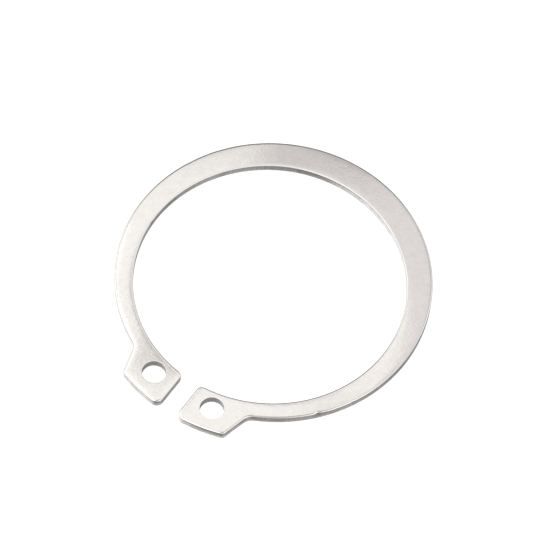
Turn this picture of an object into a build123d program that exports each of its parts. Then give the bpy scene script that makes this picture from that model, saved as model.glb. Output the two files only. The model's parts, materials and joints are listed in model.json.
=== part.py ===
from build123d import *
import os
from math import asin, cos, degrees, radians, sin, sqrt

# External circlip in its free state, in millimetres and degrees.
# The bore's axis is Z, the lower flat face lies on Z = 0 and the gap points to -Y.

# Ring
bore_diameter = 44.5
back_width = 4.7  # radial width opposite the gap, where the ring is widest
lug_side_width = 2.6  # radial width that the taper would reach at the gap
thickness = 1.5

# Lugs, one on each side of the gap
gap_width = 3.35
lug_height = 6.9  # from the bore to the lug's outer face
lug_length = 8.15  # across the lug's outer face, from the gap to the back corner
lug_back_angle = 14.7  # lean of the lug's back edge from the ring's centreline

# Plier holes, one in each lug
plier_hole_diameter = 3.9
plier_hole_to_bore = 3.0  # from the hole's centre to the bore, along the radius
plier_hole_to_gap = 4.0  # from the hole's centre to the lug's end face

# Corners of the stamped outline
inner_tip_radius = 1.0
outer_tip_radius = 1.25
lug_corner_radius = 0.7
lug_root_radius = 2.0

# Long edges: the punch rolls the upper ones over, and the lower ones have a small flat break
rolled_edge_radius = 0.2
lower_edge_break = 0.1

# The outer circle is eccentric to the bore, which tapers the ring towards the lugs
bore_radius = bore_diameter / 2
outer_radius = bore_radius + (back_width + lug_side_width) / 2
taper_offset = (back_width - lug_side_width) / 2
lug_radius = bore_radius + lug_height
lug_end_x = gap_width / 2


def on_gap_side(radius, x):
    """The point at X on the gap side of a circle about the bore's axis."""
    return Vector(x, -sqrt(radius**2 - x**2))


def both_sides(point):
    """A point of the right half and its twin across the centreline."""
    return [Vector(side * point.X, point.Y) for side in (-1, 1)]


def corners_at(vertices, point):
    """The outline's corner nearest to a point, and the corner's twin."""
    return [vertices.sort_by_distance(place)[0] for place in both_sides(point)]


inner_tip = on_gap_side(bore_radius, lug_end_x)
outer_tip = on_gap_side(lug_radius, lug_end_x)
lug_corner = on_gap_side(lug_radius, lug_end_x + lug_length)
plier_hole = on_gap_side(bore_radius + plier_hole_to_bore, lug_end_x + plier_hole_to_gap)
lug_back_direction = Vector(sin(radians(lug_back_angle)), cos(radians(lug_back_angle)))

with BuildPart() as circlip:
    with BuildSketch() as outline:
        with BuildLine():
            # Bore, from the lug's inner tip round to the back
            tip_angle = degrees(asin(lug_end_x / bore_radius))
            CenterArc((0, 0), bore_radius, tip_angle - 90, 180 - tip_angle)
            # Lug: end face at the gap, outer face about the bore's axis, and leaning back edge
            Line(inner_tip, outer_tip)
            RadiusArc(outer_tip, lug_corner, -lug_radius)
            full_outer = CenterArc((0, taper_offset), outer_radius, 0, 360, mode=Mode.PRIVATE)
            lug_back = IntersectingLine(lug_corner, lug_back_direction, full_outer)
            # Outer edge, from the lug's root round to the back
            lug_root = lug_back @ 1
            root_angle = degrees(asin((lug_root.Y - taper_offset) / outer_radius))
            CenterArc((0, taper_offset), outer_radius, root_angle, 90 - root_angle)
            mirror(about=Plane.YZ)
        make_face()
        fillet(corners_at(outline.vertices(), inner_tip), inner_tip_radius)
        fillet(corners_at(outline.vertices(), outer_tip), outer_tip_radius)
        fillet(corners_at(outline.vertices(), lug_corner), lug_corner_radius)
        fillet(corners_at(outline.vertices(), lug_root), lug_root_radius)
    extrude(amount=thickness)
    with Locations(*both_sides(plier_hole)):
        Hole(plier_hole_diameter / 2)
    fillet(circlip.faces().sort_by(Axis.Z)[-1].edges(), rolled_edge_radius)
    chamfer(circlip.faces().sort_by(Axis.Z)[0].edges(), lower_edge_break)

os.makedirs("parts", exist_ok=True)
circlip.part.label = "circlip"
export_step(circlip.part, "parts/circlip.step")
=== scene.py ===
import json
from math import atan2, cos, exp, pi, radians, sin

import bpy
import numpy as np
from mathutils import Matrix, Vector, noise
from mathutils.geometry import delaunay_2d_cdt


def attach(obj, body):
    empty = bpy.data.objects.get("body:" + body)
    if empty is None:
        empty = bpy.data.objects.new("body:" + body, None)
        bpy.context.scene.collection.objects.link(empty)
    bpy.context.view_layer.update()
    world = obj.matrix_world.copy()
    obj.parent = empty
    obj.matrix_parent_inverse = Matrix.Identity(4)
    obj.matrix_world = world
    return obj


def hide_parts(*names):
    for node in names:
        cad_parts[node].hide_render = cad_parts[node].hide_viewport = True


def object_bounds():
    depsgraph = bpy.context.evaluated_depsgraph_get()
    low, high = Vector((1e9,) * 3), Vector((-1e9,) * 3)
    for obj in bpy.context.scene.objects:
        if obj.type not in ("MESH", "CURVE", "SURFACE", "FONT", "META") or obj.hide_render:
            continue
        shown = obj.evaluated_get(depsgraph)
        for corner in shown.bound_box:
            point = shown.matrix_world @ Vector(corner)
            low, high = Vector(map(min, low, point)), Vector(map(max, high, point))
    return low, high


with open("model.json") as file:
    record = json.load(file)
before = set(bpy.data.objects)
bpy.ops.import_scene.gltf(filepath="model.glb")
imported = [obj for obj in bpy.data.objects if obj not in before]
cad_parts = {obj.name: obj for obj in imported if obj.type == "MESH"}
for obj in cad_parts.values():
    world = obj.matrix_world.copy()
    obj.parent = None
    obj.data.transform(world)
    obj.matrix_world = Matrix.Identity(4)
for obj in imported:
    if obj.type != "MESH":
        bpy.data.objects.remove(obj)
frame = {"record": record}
cad_low, cad_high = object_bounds()

# External circlip lying flat, in metres. Its bore's axis is Z and its gap points to -Y.

MM = 0.001
mounts = {mount["name"]: mount for mount in frame["record"]["mounts"]}

# Sizes that the frame gives
bore_radius = mounts["groove_seat"]["dims"]["r_mm"] * MM
thickness = cad_high.z
hole_radius = mounts["right_plier_hole"]["dims"]["r_mm"] * MM
hole_centre = np.array(mounts["right_plier_hole"]["pos_m"][:2])

# Ring and lugs
back_width = 4.7 * MM
lug_side_width = 2.6 * MM
half_gap = 1.675 * MM
lug_radius = bore_radius + 6.9 * MM
lug_length = 8.15 * MM
lug_back_angle = radians(14.7)

# Corners of the stamped outline
inner_tip_radius = 1.0 * MM
outer_tip_radius = 1.25 * MM
lug_corner_radius = 0.7 * MM
lug_root_radius = 2.0 * MM

# Section: what tumbling took off the walls, the rolled upper edge, which is crisp at the pierced holes,
# the broken lower edge, and the soft crown along the outline
tumbled_off = 0.008 * MM
roll_width = 0.4 * MM
hole_roll_width = 0.03 * MM
roll_drop = 0.2 * MM
lower_break = 0.1 * MM
crown_width = 1.2 * MM
crown_drop = 0.035 * MM
hole_crown_width = 0.18 * MM
hole_crown_drop = 0.013 * MM

# Wear of the upper edge: a slight waver all round, and dings as x, y, half length and depth in millimetres
waver_length = 2.5 * MM
waver_depth = 0.012 * MM
dings = [
    (20.00, -15.40, 0.34, 0.20),
    (20.25, -15.05, 0.85, 0.12),
    (23.10, -10.15, 0.25, 0.12),
    (-21.89, -1.85, 0.40, 0.11),
    (-23.71, 11.26, 0.70, 0.06),
    (-1.82, -28.96, 0.30, 0.07),
    (9.77, -27.52, 0.30, 0.08),
]

# Spacing of the mesh, and how the triangulation that fills a face is asked for
outline_spacing = 0.13 * MM
arc_steps = 10
roll_steps = 8
break_steps = 3
wall_steps = 6
hole_crown_steps = 5
face_spacing = 0.5 * MM
fill_inside_only = 1
fill_tolerance = 1e-5

# Noise, as its detail and roughness. A span below is the range of a noise's value that is used.
smooth_noise = (1.0, 0.5)
soft_noise = (2.0, 0.5)
rugged_noise = (3.0, 0.6)

# Sockets of a Mix node, which has its own for numbers and for colours
mix_number_sockets = (2, 3)
mix_number_result = 0
mix_colour_sockets = (6, 7)
mix_colour_result = 2

# Steel of the faces, and of their polished rims
face_dull = (0.765, 0.739, 0.712)
face_bright = (0.812, 0.785, 0.758)
cloud_bright = (0.875, 0.846, 0.817)
polished = (0.84, 0.815, 0.79)
mottle_size = 0.4 * MM
mottle_span = (0.35, 0.65)
cloud_size = 1.4 * MM
cloud_span = (0.3, 0.7)
cloud_share = 0.5
chip_size = 0.5 * MM
chip_span = (0.35, 0.6)
chip_least = 0.3
polish_steepness = (0.0, 0.4)
face_roughness = 0.13
roughness_span = (0.3, 0.7)
roughness_play = 0.03
rim_roughness = 0.12
rim_fade = 0.35  # in millimetres, as the mesh carries the distance from the edge

# Steel of the walls: torn below a border that is higher on the lugs, and burnished above it, where its
# darker colour is partly painted shade; the plier holes get painted shade
wall_steepness = (0.8, 1.0)
# The burnished band is darker partly as painted shade, standing in for the dim surroundings that the upper
# walls mirror
burnish_and_shade_dark = (0.42, 0.41, 0.40)
burnish_and_shade_light = (0.70, 0.685, 0.67)
burnished_roughness = 0.3
torn_dark = (0.68, 0.67, 0.66)
torn_light = (0.97, 0.955, 0.94)
torn_roughness = 0.62
# Painted shade inside the plier holes, and how much of it is laid over their walls
hole_painted_shade = (0.48, 0.47, 0.46)
hole_shade = 0.9
lug_line = -23.0 * MM
lug_blend = 2 * MM
lug_tear = 0.75 * MM
ring_tear = 0.3 * MM
tear_wave = 0.8 * MM
tear_play = 0.25 * MM
shear_size = 1.0  # in millimetres, as the mesh's UVs are
shear_stretch = (4.0, 0.5, 1.0)
streak_span = (0.3, 0.7)
streak_share = 0.6
band_size = 2.4 * MM
band_span = (0.35, 0.65)
band_share = 0.4

# Relief of the steel
ripple_size = 0.5 * MM
ripple_depth = 0.013 * MM
grain_size = 0.16 * MM
grain_depth = 0.0012 * MM
scratch_size = 0.22 * MM
scratch_span = (0.62, 0.66)
scratch_stretch = (0.05, 1.0, 1.0)
scratch_turns = (0.5, 1.25, 2.4)  # in radians
scratch_depth = 0.0012 * MM
score_depth = 0.006 * MM

# Floor
floor_half = 20.0
floor_albedo = 0.25
floor_roughness = 0.9
floor_glow = 0.93

# Camera, placed as the photograph was taken. The sensor and the lens are in millimetres.
view_azimuth = radians(30.667)
view_elevation = radians(59.622)
view_roll = radians(-4.6325)
view_distance = 38.5464 * bore_radius
view_aside = -0.03567 * bore_radius
view_above = 0.15016 * bore_radius
sensor_width = 36
lens = 356.1
nearest_seen = 0.01
farthest_seen = 10

# Softbox: its cloth's glow, with a dimmer part, a dimmer side beyond the ring's outer edge, and patches.
# A place on the cloth is given by the place on the ring that mirrors it. Each patch has its middle, the
# radii where it is full and gone, all in millimetres, and its change of the glow.
cloth_height = 50 * MM
cloth_half = 44 * MM
cloth_radiance = 1.13
cloth_white = (1.0, 1.0, 1.0)
cloth_tint = (1.0, 0.982, 0.99)
dim_drop = 0.24
dim_left_edge = np.array([-15.5, 18.8]) * MM
dim_left_width = 6.5 * MM
dim_right_edge = np.array([23.4, 3.3]) * MM
dim_right_width = 2.0 * MM
dim_near_edge = np.array([19.3, 9.5]) * MM
dim_near_width = 3.0 * MM
rim_reach = 8 * MM
rim_azimuth = radians(75)
rim_drop = 0.12
cloth_patches = [
    ((-6.0, 24.5), 4.0, 17.0, -0.15),
    ((-21.0, 15.0), 2.0, 18.0, -0.07),
    ((22.0, -12.0), 3.0, 14.0, -0.05),
    ((25.0, -17.0), 2.0, 8.0, -0.15),
    ((-1.0, 18.5), 3.0, 8.5, 0.09),
    ((-5.0, 31.5), 3.0, 9.0, -0.12),
    ((-26.0, 20.0), 3.0, 10.0, -0.15),
    ((-11.0, -9.5), 2.0, 8.0, -0.5),
    ((12.5, -8.0), 2.0, 7.5, -0.25),
    ((7.5, -10.5), 2.0, 7.0, -0.3),
    ((-6.8, -22.0), 1.0, 7.0, -0.32),
    ((-7.0, -16.5), 2.0, 5.5, -0.35),
    ((-2.0, -20.0), 1.0, 4.5, -0.15),
    ((-33.0, -13.5), 4.0, 12.0, 0.4),
    ((-22.5, -29.0), 4.0, 12.0, 0.4),
    ((-8.5, -38.0), 3.0, 9.0, 0.2),
]

# Room: its even light and its lobes. Each lobe has its azimuth from the way the camera looks, its
# elevation, the angles from its middle where it is full and gone, all in degrees, and its radiance.
world_base = 0.3
world_lobes = [
    (120, 46, 15, 42, 1.25),
    (54, 33, 12, 28, 0.95),
    (88, 31, 12, 28, 0.6),
    (62, -18, 10, 28, 0.6),
    (75, 75, 8, 28, 0.6),
    (-98, 44, 15, 44, 0.6),
    (-145, 32, 15, 42, 0.62),
    (-22, -60, 8, 25, 0.25),
    (-52, 21, 12, 30, 0.65),
    (70, -62, 10, 40, 1.2),
    (-140, -60, 10, 38, 0.25),
    (175, -55, 5, 30, -0.17),
    (0, -90, 8, 24, 1.6),
    (10, -8, 10, 28, -0.25),
]


def unit(angle):
    """The unit vector at an angle."""
    return np.array([cos(angle), sin(angle)])


def angle_of(vector):
    """The angle of a vector."""
    return atan2(vector[1], vector[0])


# The outer circle is eccentric to the bore, which tapers the ring towards the lugs
outer_radius = bore_radius + (back_width + lug_side_width) / 2
outer_centre = np.array([0.0, (back_width - lug_side_width) / 2])
bore_centre = np.zeros(2)

# Directions along the floor: to the camera's right, away from the camera, and to the cloth's dimmer side
aside_way = unit(view_azimuth)
away_way = unit(view_azimuth + pi / 2)
rim_way = unit(view_azimuth + rim_azimuth)


def new_object(name, data):
    """A new object in the scene."""
    made = bpy.data.objects.new(name, data)
    bpy.context.scene.collection.objects.link(made)
    return made


def below(radius, x):
    """The point at X on the gap side of a circle about the bore's axis."""
    return np.array([x, -((radius**2 - x**2) ** 0.5)])


def meet(start, direction, centre, radius):
    """Where a line from start first meets a circle."""
    offset = start - centre
    along = offset @ direction
    reach = along**2 - offset @ offset + radius**2
    return start + (-along - reach**0.5) * direction


def arc(centre, radius, start, end):
    """Points along an arc with their outward directions. The steel lies to the left of the way."""
    turn = 1 if end > start else -1
    count = max(arc_steps, round(abs(end - start) * radius / outline_spacing))
    angles = np.linspace(start, end, count + 1)
    rays = np.stack([np.cos(angles), np.sin(angles)], axis=1)
    return centre + radius * rays, turn * rays


def straight(start, end):
    """Points between two places, ends left out, with their outward directions."""
    way = end - start
    length = np.hypot(*way)
    count = max(2, round(length / outline_spacing))
    shares = np.linspace(0, 1, count + 1)[1:-1, None]
    outward = np.array([way[1], -way[0]]) / length
    return start + shares * way, np.repeat(outward[None], count - 1, axis=0)


def outline_arcs():
    """The arcs of the right half, from the back of the bore down to the gap and back up the outside."""
    tip_in = below(bore_radius + inner_tip_radius, half_gap + inner_tip_radius)
    tip_out = below(lug_radius - outer_tip_radius, half_gap + outer_tip_radius)
    corner = below(lug_radius, half_gap + lug_length)
    up_back = np.array([sin(lug_back_angle), cos(lug_back_angle)])
    out_back = unit(-lug_back_angle)
    corner_centre = meet(
        corner - lug_corner_radius * out_back, up_back, bore_centre, lug_radius - lug_corner_radius
    )
    root_centre = meet(
        corner + lug_root_radius * out_back, up_back, outer_centre, outer_radius + lug_root_radius
    )
    tip_in_angle = angle_of(tip_in)
    tip_out_angle = angle_of(tip_out)
    corner_angle = angle_of(corner_centre)
    root_angle = angle_of(root_centre - outer_centre)
    return [
        arc(bore_centre, bore_radius, pi / 2, tip_in_angle),
        arc(tip_in, inner_tip_radius, tip_in_angle + pi, pi),
        arc(tip_out, outer_tip_radius, -pi, tip_out_angle),
        arc(bore_centre, lug_radius, tip_out_angle, corner_angle),
        arc(corner_centre, lug_corner_radius, corner_angle, -lug_back_angle),
        arc(root_centre, lug_root_radius, pi - lug_back_angle, root_angle + pi),
        arc(outer_centre, outer_radius, root_angle, pi / 2),
    ]


def half_outline():
    """The right half of the outline: its arcs, with straight runs between those that don't touch."""
    points = []
    outward = []
    for arc_points, arc_outward in outline_arcs():
        if points:
            last = points[-1][-1]
            if np.hypot(*(arc_points[0] - last)) > outline_spacing:
                between, between_outward = straight(last, arc_points[0])
                points.append(between)
                outward.append(between_outward)
            else:
                arc_points, arc_outward = arc_points[1:], arc_outward[1:]
        points.append(arc_points)
        outward.append(arc_outward)
    return np.concatenate(points), np.concatenate(outward)


def whole_outline():
    """The right half and its mirror image, as one closed loop."""
    points, outward = half_outline()
    mirror = np.array([-1, 1])
    return (
        np.concatenate([points, (points * mirror)[-2:0:-1]]),
        np.concatenate([outward, (outward * mirror)[-2:0:-1]]),
    )


def hole_loop(centre):
    """A plier hole as a closed loop."""
    points, outward = arc(centre, hole_radius, 2 * pi, 0)
    return points[:-1], outward[:-1]


def section(width, further_rows):
    """The edge's section from the lower face up, as rows of inset from the edge, height and steepness."""
    rows = []
    for turn in np.linspace(-pi / 2, 0, break_steps + 1):
        rows.append((lower_break * (1 - cos(turn)), lower_break * (1 + sin(turn)), cos(turn)))
    for height in np.linspace(lower_break, thickness - roll_drop, wall_steps + 1)[1:]:
        rows.append((0.0, height, 1.0))
    for turn in np.linspace(0, pi / 2, roll_steps + 1)[1:]:
        inset, drop = width * (1 - cos(turn)), roll_drop * (1 - sin(turn))
        slope = cos(atan2(width * sin(turn), roll_drop * cos(turn)))
        rows.append((inset, thickness - drop, slope))
    for inset in further_rows:
        rows.append((inset, thickness, 0.0))
    return rows


def crown(distance, width, deepest):
    """How far the upper face has dropped at a distance from an edge."""
    return deepest * max(0.0, 1 - distance / width) ** 3


def worn_in(place):
    """How far wear has pushed the upper edge in at a place on the outline."""
    depth = waver_depth * max(0.0, 0.5 + noise.noise(Vector((*place, 0)) / waver_length))
    for x, y, half_length, deepest in dings:
        away = np.hypot(*(place - np.array([x, y]) * MM)) / (half_length * MM)
        depth += deepest * MM * exp(-(away**2))
    return depth


def travelled(places):
    """The distance covered at each of a row of places."""
    steps = np.hypot(*np.diff(places, axis=0).T)
    return np.concatenate([[0.0], np.cumsum(steps)])


class Surface:
    """The ring's surface as it grows: vertices, faces with their UVs, and the values that the steel reads.

    The UVs and the distance from the edge are kept in millimetres."""

    def __init__(self):
        self.verts = []
        self.faces = []
        self.uvs = []
        self.layers = {"edge_distance": [], "wall": [], "hole": []}

    def add_vert(self, place, **values):
        """Adds a vertex, with the values that aren't 0 there."""
        self.verts.append(place)
        for name, layer in self.layers.items():
            layer.append(values.get(name, 0.0))

    def add_face(self, corners, uvs):
        """Adds a face, with a UV for each corner."""
        self.faces.append(corners)
        self.uvs.append(uvs)

    def mesh(self):
        """The finished surface as a mesh."""
        mesh = bpy.data.meshes.new("circlip_surface")
        mesh.from_pydata(self.verts, [], self.faces)
        values = [value / MM for uvs in self.uvs for uv in uvs for value in uv]
        mesh.uv_layers.new(name="section").data.foreach_set("uv", values)
        for name, layer in self.layers.items():
            mesh.attributes.new(name, "FLOAT", "POINT").data.foreach_set("value", layer)
        mesh.shade_smooth()
        return mesh


def edge_of(pierced):
    """The section along a loop, with the width and the depth of its soft crown."""
    if not pierced:
        return section(roll_width, ()), crown_width, crown_drop
    further_rows = np.linspace(hole_roll_width, hole_crown_width, hole_crown_steps + 1)[1:]
    return section(hole_roll_width, further_rows), hole_crown_width, hole_crown_drop


def add_wall(surface, points, outward, pierced):
    """Adds the wall along a loop, with its lower and upper edge. Gives the loop's lower and upper rim."""
    rows, soft_width, soft_drop = edge_of(pierced)
    wear = [0.0 if pierced else worn_in(place) for place in points]
    count = len(points)
    first = len(surface.verts)
    for inset, height, slope in rows:
        drop = crown(inset, soft_width, soft_drop) * max(0.0, 2 * height / thickness - 1)
        share = (height / thickness) ** 2
        for place, away, depth in zip(points, outward, wear):
            x, y = place - (inset + tumbled_off + share * depth) * away
            surface.add_vert((x, y, height - drop), wall=slope, hole=float(pierced))
    across = travelled([(inset, height) for inset, height, _ in rows])
    along = travelled(np.concatenate([points, points[:1]]))
    for row in range(len(rows) - 1):
        low, high = first + row * count, first + (row + 1) * count
        for i in range(count):
            j = (i + 1) % count
            uvs = [
                (along[i], across[row]),
                (along[i + 1], across[row]),
                (along[i + 1], across[row + 1]),
                (along[i], across[row + 1]),
            ]
            surface.add_face((low + i, low + j, high + j, high + i), uvs)
    top = first + (len(rows) - 1) * count
    return range(first, first + count), range(top, top + count)


def face_points(edge_points, edge_outward, outline_count):
    """Points spread over the flat of a face, each with its distance from the nearest edge and its drop."""
    found = []
    row_height = face_spacing * 3**0.5 / 2
    for row, y in enumerate(np.arange(cad_low.y, cad_high.y, row_height)):
        xs = np.arange(cad_low.x, cad_high.x, face_spacing) + (row % 2) * face_spacing / 2
        for x in xs:
            offset = edge_points - (x, y)
            distances = np.hypot(*offset.T)
            nearest = int(distances.argmin())
            distance = float(distances[nearest])
            if offset[nearest] @ edge_outward[nearest] > 0 and distance > roll_width + face_spacing / 2:
                to_outline = float(distances[:outline_count].min())
                found.append((x, y, distance, crown(to_outline, crown_width, crown_drop)))
    return found


def hole_opening(verts, rim):
    """The centre of a plier hole's rim, and the radius that fits inside the rim's sides."""
    corners = np.array([verts[index][:2] for index in rim])
    centre = corners.mean(axis=0)
    return centre, np.hypot(*(corners[0] - centre)) * cos(pi / len(rim))


def fill_face(surface, rims, inner, upward):
    """Fills the lower or the upper face between its rims, over the points spread on it."""
    verts = surface.verts
    indices = [index for rim in rims for index in rim]
    places = [Vector(verts[index][:2]) / MM for index in indices]
    edges = []
    start = 0
    for rim in rims:
        edges += [(start + i, start + (i + 1) % len(rim)) for i in range(len(rim))]
        start += len(rim)
    for x, y, distance, drop in inner:
        places.append(Vector((x, y)) / MM)
        indices.append(len(verts))
        height = thickness - drop if upward else 0.0
        surface.add_vert((x, y, height), edge_distance=(distance - roll_width) / MM)
    _, _, triangles, origins, _, _ = delaunay_2d_cdt(places, edges, [], fill_inside_only, fill_tolerance)
    openings = [hole_opening(verts, rim) for rim in rims[1:]]
    for triangle in triangles:
        corners = [indices[origins[corner][0]] for corner in triangle]
        middle = np.mean([verts[corner][:2] for corner in corners], axis=0)
        if any(np.hypot(*(middle - centre)) < radius for centre, radius in openings):
            continue
        if not upward:
            corners.reverse()
        surface.add_face(corners, [verts[corner][:2] for corner in corners])


def build_ring():
    """The whole circlip as one closed mesh."""
    loops = [whole_outline(), hole_loop(hole_centre), hole_loop(hole_centre * np.array([-1, 1]))]
    surface = Surface()
    lower_rims = []
    upper_rims = []
    for number, (points, outward) in enumerate(loops):
        lower_rim, upper_rim = add_wall(surface, points, outward, pierced=number > 0)
        lower_rims.append(lower_rim)
        upper_rims.append(upper_rim)
    edge_points, edge_outward = (np.concatenate(parts) for parts in zip(*loops))
    inner = face_points(edge_points, edge_outward, len(loops[0][0]))
    fill_face(surface, lower_rims, inner, upward=False)
    fill_face(surface, upper_rims, inner, upward=True)
    return surface.mesh()


def join(tree, value, socket):
    """Gives a shader node's socket a value, or joins it to another socket."""
    if isinstance(value, bpy.types.NodeSocket):
        tree.links.new(value, socket)
    else:
        socket.default_value = value


def add(tree, kind, inputs=None, **settings):
    """A new shader node. Each input is a value, or the socket that it is joined to."""
    node = tree.nodes.new("ShaderNode" + kind)
    for name, value in settings.items():
        setattr(node, name, value)
    for key, value in (inputs or {}).items():
        join(tree, value, node.inputs[key])
    return node


def mapped(tree, value, span, to_low=0.0, to_high=1.0, **settings):
    """The value carried from a span to another range, and held at its ends."""
    low, high = span
    ranges = {"Value": value, "From Min": low, "From Max": high, "To Min": to_low, "To Max": to_high}
    return add(tree, "MapRange", ranges, **settings).outputs["Result"]


def eased(tree, value, span, to_low=0.0, to_high=1.0):
    """As mapped, but starting and ending softly."""
    return mapped(tree, value, span, to_low, to_high, interpolation_type="SMOOTHSTEP")


def maths(tree, operation, *values):
    """The result of a Math node on two or three values."""
    return add(tree, "Math", dict(enumerate(values)), operation=operation).outputs[0]


def along_way(tree, place, way):
    """How far a place lies along a direction."""
    return add(tree, "VectorMath", {0: place, 1: way}, operation="DOT_PRODUCT").outputs["Value"]


def away_from(tree, place, centre):
    """The distance of a place from a centre on the floor."""
    return add(tree, "VectorMath", {0: place, 1: (*centre, 0)}, operation="DISTANCE").outputs["Value"]


def blended(tree, share, first, second):
    """A number between two others."""
    mix = add(tree, "Mix", {"Factor": share}, data_type="FLOAT")
    for socket, number in zip(mix_number_sockets, (first, second)):
        join(tree, number, mix.inputs[socket])
    return mix.outputs[mix_number_result]


def tinted(tree, share, first, second):
    """A colour between two others."""
    mix = add(tree, "Mix", {"Factor": share}, data_type="RGBA")
    for socket, colour in zip(mix_colour_sockets, (first, second)):
        join(tree, (*colour, 1) if isinstance(colour, tuple) else colour, mix.inputs[socket])
    return mix.outputs[mix_colour_result]


def noise_of(tree, vector, size, kind=soft_noise):
    """Noise whose features measure size, in the vector's own unit."""
    detail, roughness = kind
    inputs = {"Vector": vector, "Scale": 1 / size, "Detail": detail, "Roughness": roughness}
    return add(tree, "TexNoise", inputs).outputs["Fac"]


def carried(tree, name):
    """A value that the mesh carries at each point."""
    return add(tree, "Attribute", attribute_name=name).outputs["Fac"]


def bumped(tree, height, depth, under=None, **settings):
    """The surface's direction with bumps of a depth, laid over those under them."""
    inputs = {"Height": height, "Distance": depth}
    if under:
        inputs["Normal"] = under
    return add(tree, "Bump", inputs, **settings).outputs[0]


def new_material(name):
    """An empty node material, with its tree and shader."""
    material = bpy.data.materials.new(name)
    material.use_nodes = True
    return material, material.node_tree, material.node_tree.nodes["Principled BSDF"]


def scratched(tree, place):
    """Fine straight scratches in a few directions, as one mask."""
    lines = 0.0
    for turn in scratch_turns:
        inputs = {"Vector": place, "Rotation": (0, 0, turn), "Scale": scratch_stretch}
        turned = add(tree, "Mapping", inputs).outputs["Vector"]
        line = mapped(tree, noise_of(tree, turned, scratch_size, smooth_noise), scratch_span)
        lines = maths(tree, "MAXIMUM", line, lines)
    return lines


def sheared(tree):
    """The marks of the shear, which run up the walls."""
    along_wall = add(tree, "UVMap", uv_map="section").outputs["UV"]
    stretched = add(tree, "Mapping", {"Vector": along_wall, "Scale": shear_stretch}).outputs["Vector"]
    return noise_of(tree, stretched, shear_size, rugged_noise)


def burnished(tree, place):
    """1 on the burnished part of a wall, and 0 on the torn part below its wavy border."""
    axes = add(tree, "SeparateXYZ", {"Vector": place}).outputs
    border = mapped(tree, axes["Y"], (lug_line - lug_blend, lug_line + lug_blend), lug_tear, ring_tear)
    wave = noise_of(tree, place, tear_wave, rugged_noise)
    border = maths(tree, "MULTIPLY_ADD", wave, tear_play, border)
    above = maths(tree, "SUBTRACT", axes["Z"], border)
    return mapped(tree, above, (-tear_play, 0.0))


def face_colour(tree, place, steep, mottle):
    """Satin steel with a fine mottle and soft clouds, polished in places where the edge rolls over."""
    face = tinted(tree, mapped(tree, mottle, mottle_span), face_dull, face_bright)
    cloud = mapped(tree, noise_of(tree, place, cloud_size), cloud_span, 0.0, cloud_share)
    face = tinted(tree, cloud, face, cloud_bright)
    chips = mapped(tree, noise_of(tree, place, chip_size, rugged_noise), chip_span, chip_least)
    polish = maths(tree, "MULTIPLY", mapped(tree, steep, polish_steepness), chips)
    return tinted(tree, polish, face, polished)


def side_colour(tree, place, shear, burnish, hole):
    """Torn and burnished steel with streaks and broader bands, the burnished band darker partly as painted
    shade, and painted shade in the plier holes.
    """
    streak = mapped(tree, shear, streak_span, 0.0, streak_share)
    band = mapped(tree, noise_of(tree, place, band_size, smooth_noise), band_span, 0.0, band_share)
    streak = maths(tree, "ADD", streak, band)
    torn = tinted(tree, streak, torn_dark, torn_light)
    # The burnished band's colour, darker partly as painted shade
    burnish_and_shade = tinted(tree, streak, burnish_and_shade_dark, burnish_and_shade_light)
    side = tinted(tree, burnish, torn, burnish_and_shade)
    # Painted shade on the walls of the plier holes
    return tinted(tree, maths(tree, "MULTIPLY", hole, hole_shade), side, hole_painted_shade)


def steel_roughness(tree, wall, mottle, burnish, hole):
    """Satin faces with smoother rims, and walls that are rough where torn and in the plier holes."""
    least, most = face_roughness - roughness_play, face_roughness + roughness_play
    face = mapped(tree, mottle, roughness_span, least, most)
    rim = mapped(tree, carried(tree, "edge_distance"), (0.0, rim_fade), rim_roughness, face_roughness)
    face = maths(tree, "MINIMUM", face, rim)
    side = mapped(tree, burnish, (0.0, 1.0), torn_roughness, burnished_roughness)
    side = maths(tree, "MAXIMUM", side, maths(tree, "MULTIPLY", hole, torn_roughness))
    return blended(tree, wall, face, side)


def steel_relief(tree, place, steep, wall, shear):
    """A ripple and a fine grain all over, scratches on the faces and score marks on the walls."""
    relief = bumped(tree, noise_of(tree, place, ripple_size), ripple_depth)
    relief = bumped(tree, noise_of(tree, place, grain_size), grain_depth, relief)
    handled = maths(tree, "MULTIPLY", scratched(tree, place), maths(tree, "SUBTRACT", 1.0, steep))
    relief = bumped(tree, handled, scratch_depth, relief, invert=True)
    return bumped(tree, maths(tree, "MULTIPLY", shear, wall), score_depth, relief)


def steel_material():
    """Tumbled spring steel: satin faces with a fine mottle, burnished rims, and sheared walls darkened
    partly with painted shade.
    """
    material, tree, shader = new_material("ring_steel")
    place = add(tree, "TexCoord").outputs["Object"]
    steep = carried(tree, "wall")
    hole = carried(tree, "hole")
    wall = mapped(tree, steep, wall_steepness)
    mottle = noise_of(tree, place, mottle_size, rugged_noise)
    shear = sheared(tree)
    burnish = burnished(tree, place)
    face = face_colour(tree, place, steep, mottle)
    side = side_colour(tree, place, shear, burnish, hole)
    join(tree, tinted(tree, wall, face, side), shader.inputs["Base Color"])
    join(tree, steel_roughness(tree, wall, mottle, burnish, hole), shader.inputs["Roughness"])
    join(tree, steel_relief(tree, place, steep, wall, shear), shader.inputs["Normal"])
    shader.inputs["Metallic"].default_value = 1.0
    return material


def floor_material():
    """White acrylic, lit from below as on a light table."""
    material, _, shader = new_material("floor_white")
    shader.inputs["Base Color"].default_value = (floor_albedo, floor_albedo, floor_albedo, 1)
    shader.inputs["Roughness"].default_value = floor_roughness
    shader.inputs["Specular IOR Level"].default_value = 0.0
    shader.inputs["Emission Color"].default_value = (1, 1, 1, 1)
    shader.inputs["Emission Strength"].default_value = floor_glow
    return material


def beyond(tree, place, start, way, width):
    """0 behind a straight edge and 1 beyond it, with a soft step of a given width between."""
    middle = float(np.dot(start, way))
    return eased(tree, along_way(tree, place, (*way, 0)), (middle - width / 2, middle + width / 2))


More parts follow.
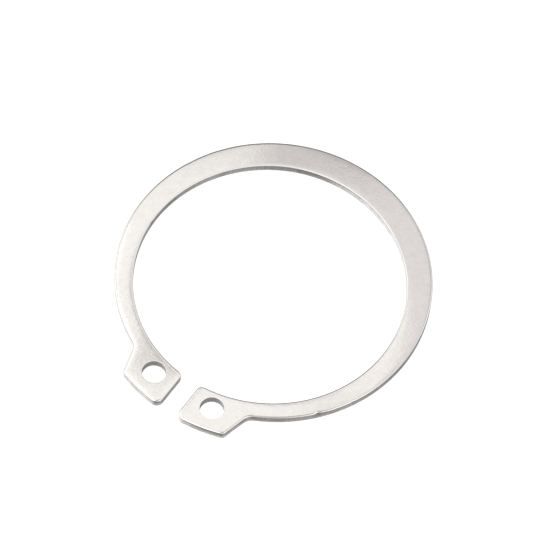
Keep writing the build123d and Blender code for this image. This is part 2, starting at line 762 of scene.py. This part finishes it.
def mirrored_place(tree, eye):
    """The place on the ring that shows each part of the softbox's cloth to the camera."""
    share = (cloth_height - thickness) / (eye.z - thickness)
    scale = (1 / (1 + share), 1 / (1 + share), 0)
    shift = (eye.x * share / (1 + share), eye.y * share / (1 + share), 0)
    inputs = {0: add(tree, "TexCoord").outputs["Object"], 1: scale, 2: shift}
    return add(tree, "VectorMath", inputs, operation="MULTIPLY_ADD").outputs["Vector"]


def cloth_material(eye):
    """The softbox's cloth, lit unevenly."""
    material, tree, shader = new_material("softbox_cloth")
    place = mirrored_place(tree, eye)
    dim_left = beyond(tree, place, dim_left_edge, aside_way, dim_left_width)
    dim_right = beyond(tree, place, dim_right_edge, aside_way, dim_right_width)
    dim_near = beyond(tree, place, dim_near_edge, away_way, dim_near_width)
    dim = maths(tree, "MULTIPLY", dim_left, maths(tree, "MAXIMUM", dim_right, dim_near))
    glow = maths(tree, "MULTIPLY_ADD", dim, -dim_drop, cloth_radiance)
    for centre, full, gone, change in cloth_patches:
        distance = away_from(tree, place, np.array(centre) * MM)
        patch = eased(tree, distance, (full * MM, gone * MM), 1.0, 0.0)
        glow = maths(tree, "MULTIPLY_ADD", patch, change, glow)
    outside = eased(tree, away_from(tree, place, outer_centre), (outer_radius, outer_radius + rim_reach))
    to_rim = along_way(tree, place, (*rim_way, 0))
    rim_change = mapped(tree, to_rim, (0.0, outer_radius), 0.0, -rim_drop)
    glow = maths(tree, "MULTIPLY_ADD", outside, rim_change, glow)
    join(tree, glow, shader.inputs["Emission Strength"])
    join(tree, tinted(tree, dim, cloth_white, cloth_tint), shader.inputs["Emission Color"])
    shader.inputs["Base Color"].default_value = (0, 0, 0, 1)
    shader.inputs["Specular IOR Level"].default_value = 0.0
    return material


def square_sheet(name, centre, across, along, half, height, material):
    """A flat square at a height, as a new object."""
    signs = ((-1, -1), (1, -1), (1, 1), (-1, 1))
    corners = [centre + half * (i * across + j * along) for i, j in signs]
    mesh = bpy.data.meshes.new(name)
    mesh.from_pydata([(*corner, height) for corner in corners], [], [range(len(corners))])
    mesh.materials.append(material)
    return new_object(name, mesh)


def lay_floor():
    """A wide floor that the camera alone sees. The steel mirrors the room's light from below instead."""
    across, along = np.array([1.0, 0.0]), np.array([0.0, 1.0])
    sheet = square_sheet("floor", bore_centre, across, along, floor_half, 0.0, floor_material())
    sheet.visible_glossy = False
    sheet.visible_diffuse = False
    sheet.visible_shadow = False
    return sheet


def place_camera():
    """The camera, at the place and turn that the photograph was taken from."""
    right = Vector((*aside_way, 0))
    level = cos(view_elevation)
    back = Vector((sin(view_azimuth) * level, -cos(view_azimuth) * level, sin(view_elevation)))
    up = back.cross(right)
    image_right = right * cos(view_roll) - up * sin(view_roll)
    image_up = right * sin(view_roll) + up * cos(view_roll)
    turned = Matrix((image_right, image_up, back)).transposed().to_4x4()
    place = right * view_aside + up * view_above + back * view_distance
    made = new_object("camera", bpy.data.cameras.new("camera"))
    made.data.sensor_width = sensor_width
    made.data.lens = lens
    made.data.clip_start = nearest_seen
    made.data.clip_end = farthest_seen
    made.matrix_world = Matrix.Translation(place) @ turned
    bpy.context.scene.camera = made
    return made


def hang_softbox(eye):
    """A glowing sheet above the ring. The camera sees only its mirror image in the steel."""
    onward = outer_centre - np.array(eye[:2])
    centre = outer_centre + onward * (cloth_height - thickness) / (eye.z - thickness)
    material = cloth_material(eye)
    sheet = square_sheet("softbox", centre, aside_way, away_way, cloth_half, cloth_height, material)
    sheet.visible_camera = False


def studio_world():
    """Soft light from all round, with brighter and darker lobes."""
    world = bpy.data.worlds.new("studio")
    world.use_nodes = True
    tree = world.node_tree
    way = add(tree, "TexCoord").outputs["Generated"]
    light = world_base
    for azimuth, elevation, full, gone, radiance in world_lobes:
        turned = view_azimuth + radians(azimuth)
        level = cos(radians(elevation))
        ray = (-sin(turned) * level, cos(turned) * level, sin(radians(elevation)))
        span = (cos(radians(gone)), cos(radians(full)))
        light = maths(tree, "ADD", light, eased(tree, along_way(tree, way, ray), span, 0.0, radiance))
    background = tree.nodes["Background"]
    background.inputs["Color"].default_value = (1, 1, 1, 1)
    join(tree, light, background.inputs["Strength"])
    return world


ring = new_object("circlip_body", build_ring())
ring.data.materials.append(steel_material())
floor = lay_floor()
camera = place_camera()
hang_softbox(camera.location)
bpy.context.scene.world = studio_world()
bpy.context.scene.view_settings.view_transform = "Standard"

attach(ring, "root")
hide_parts("circlip")
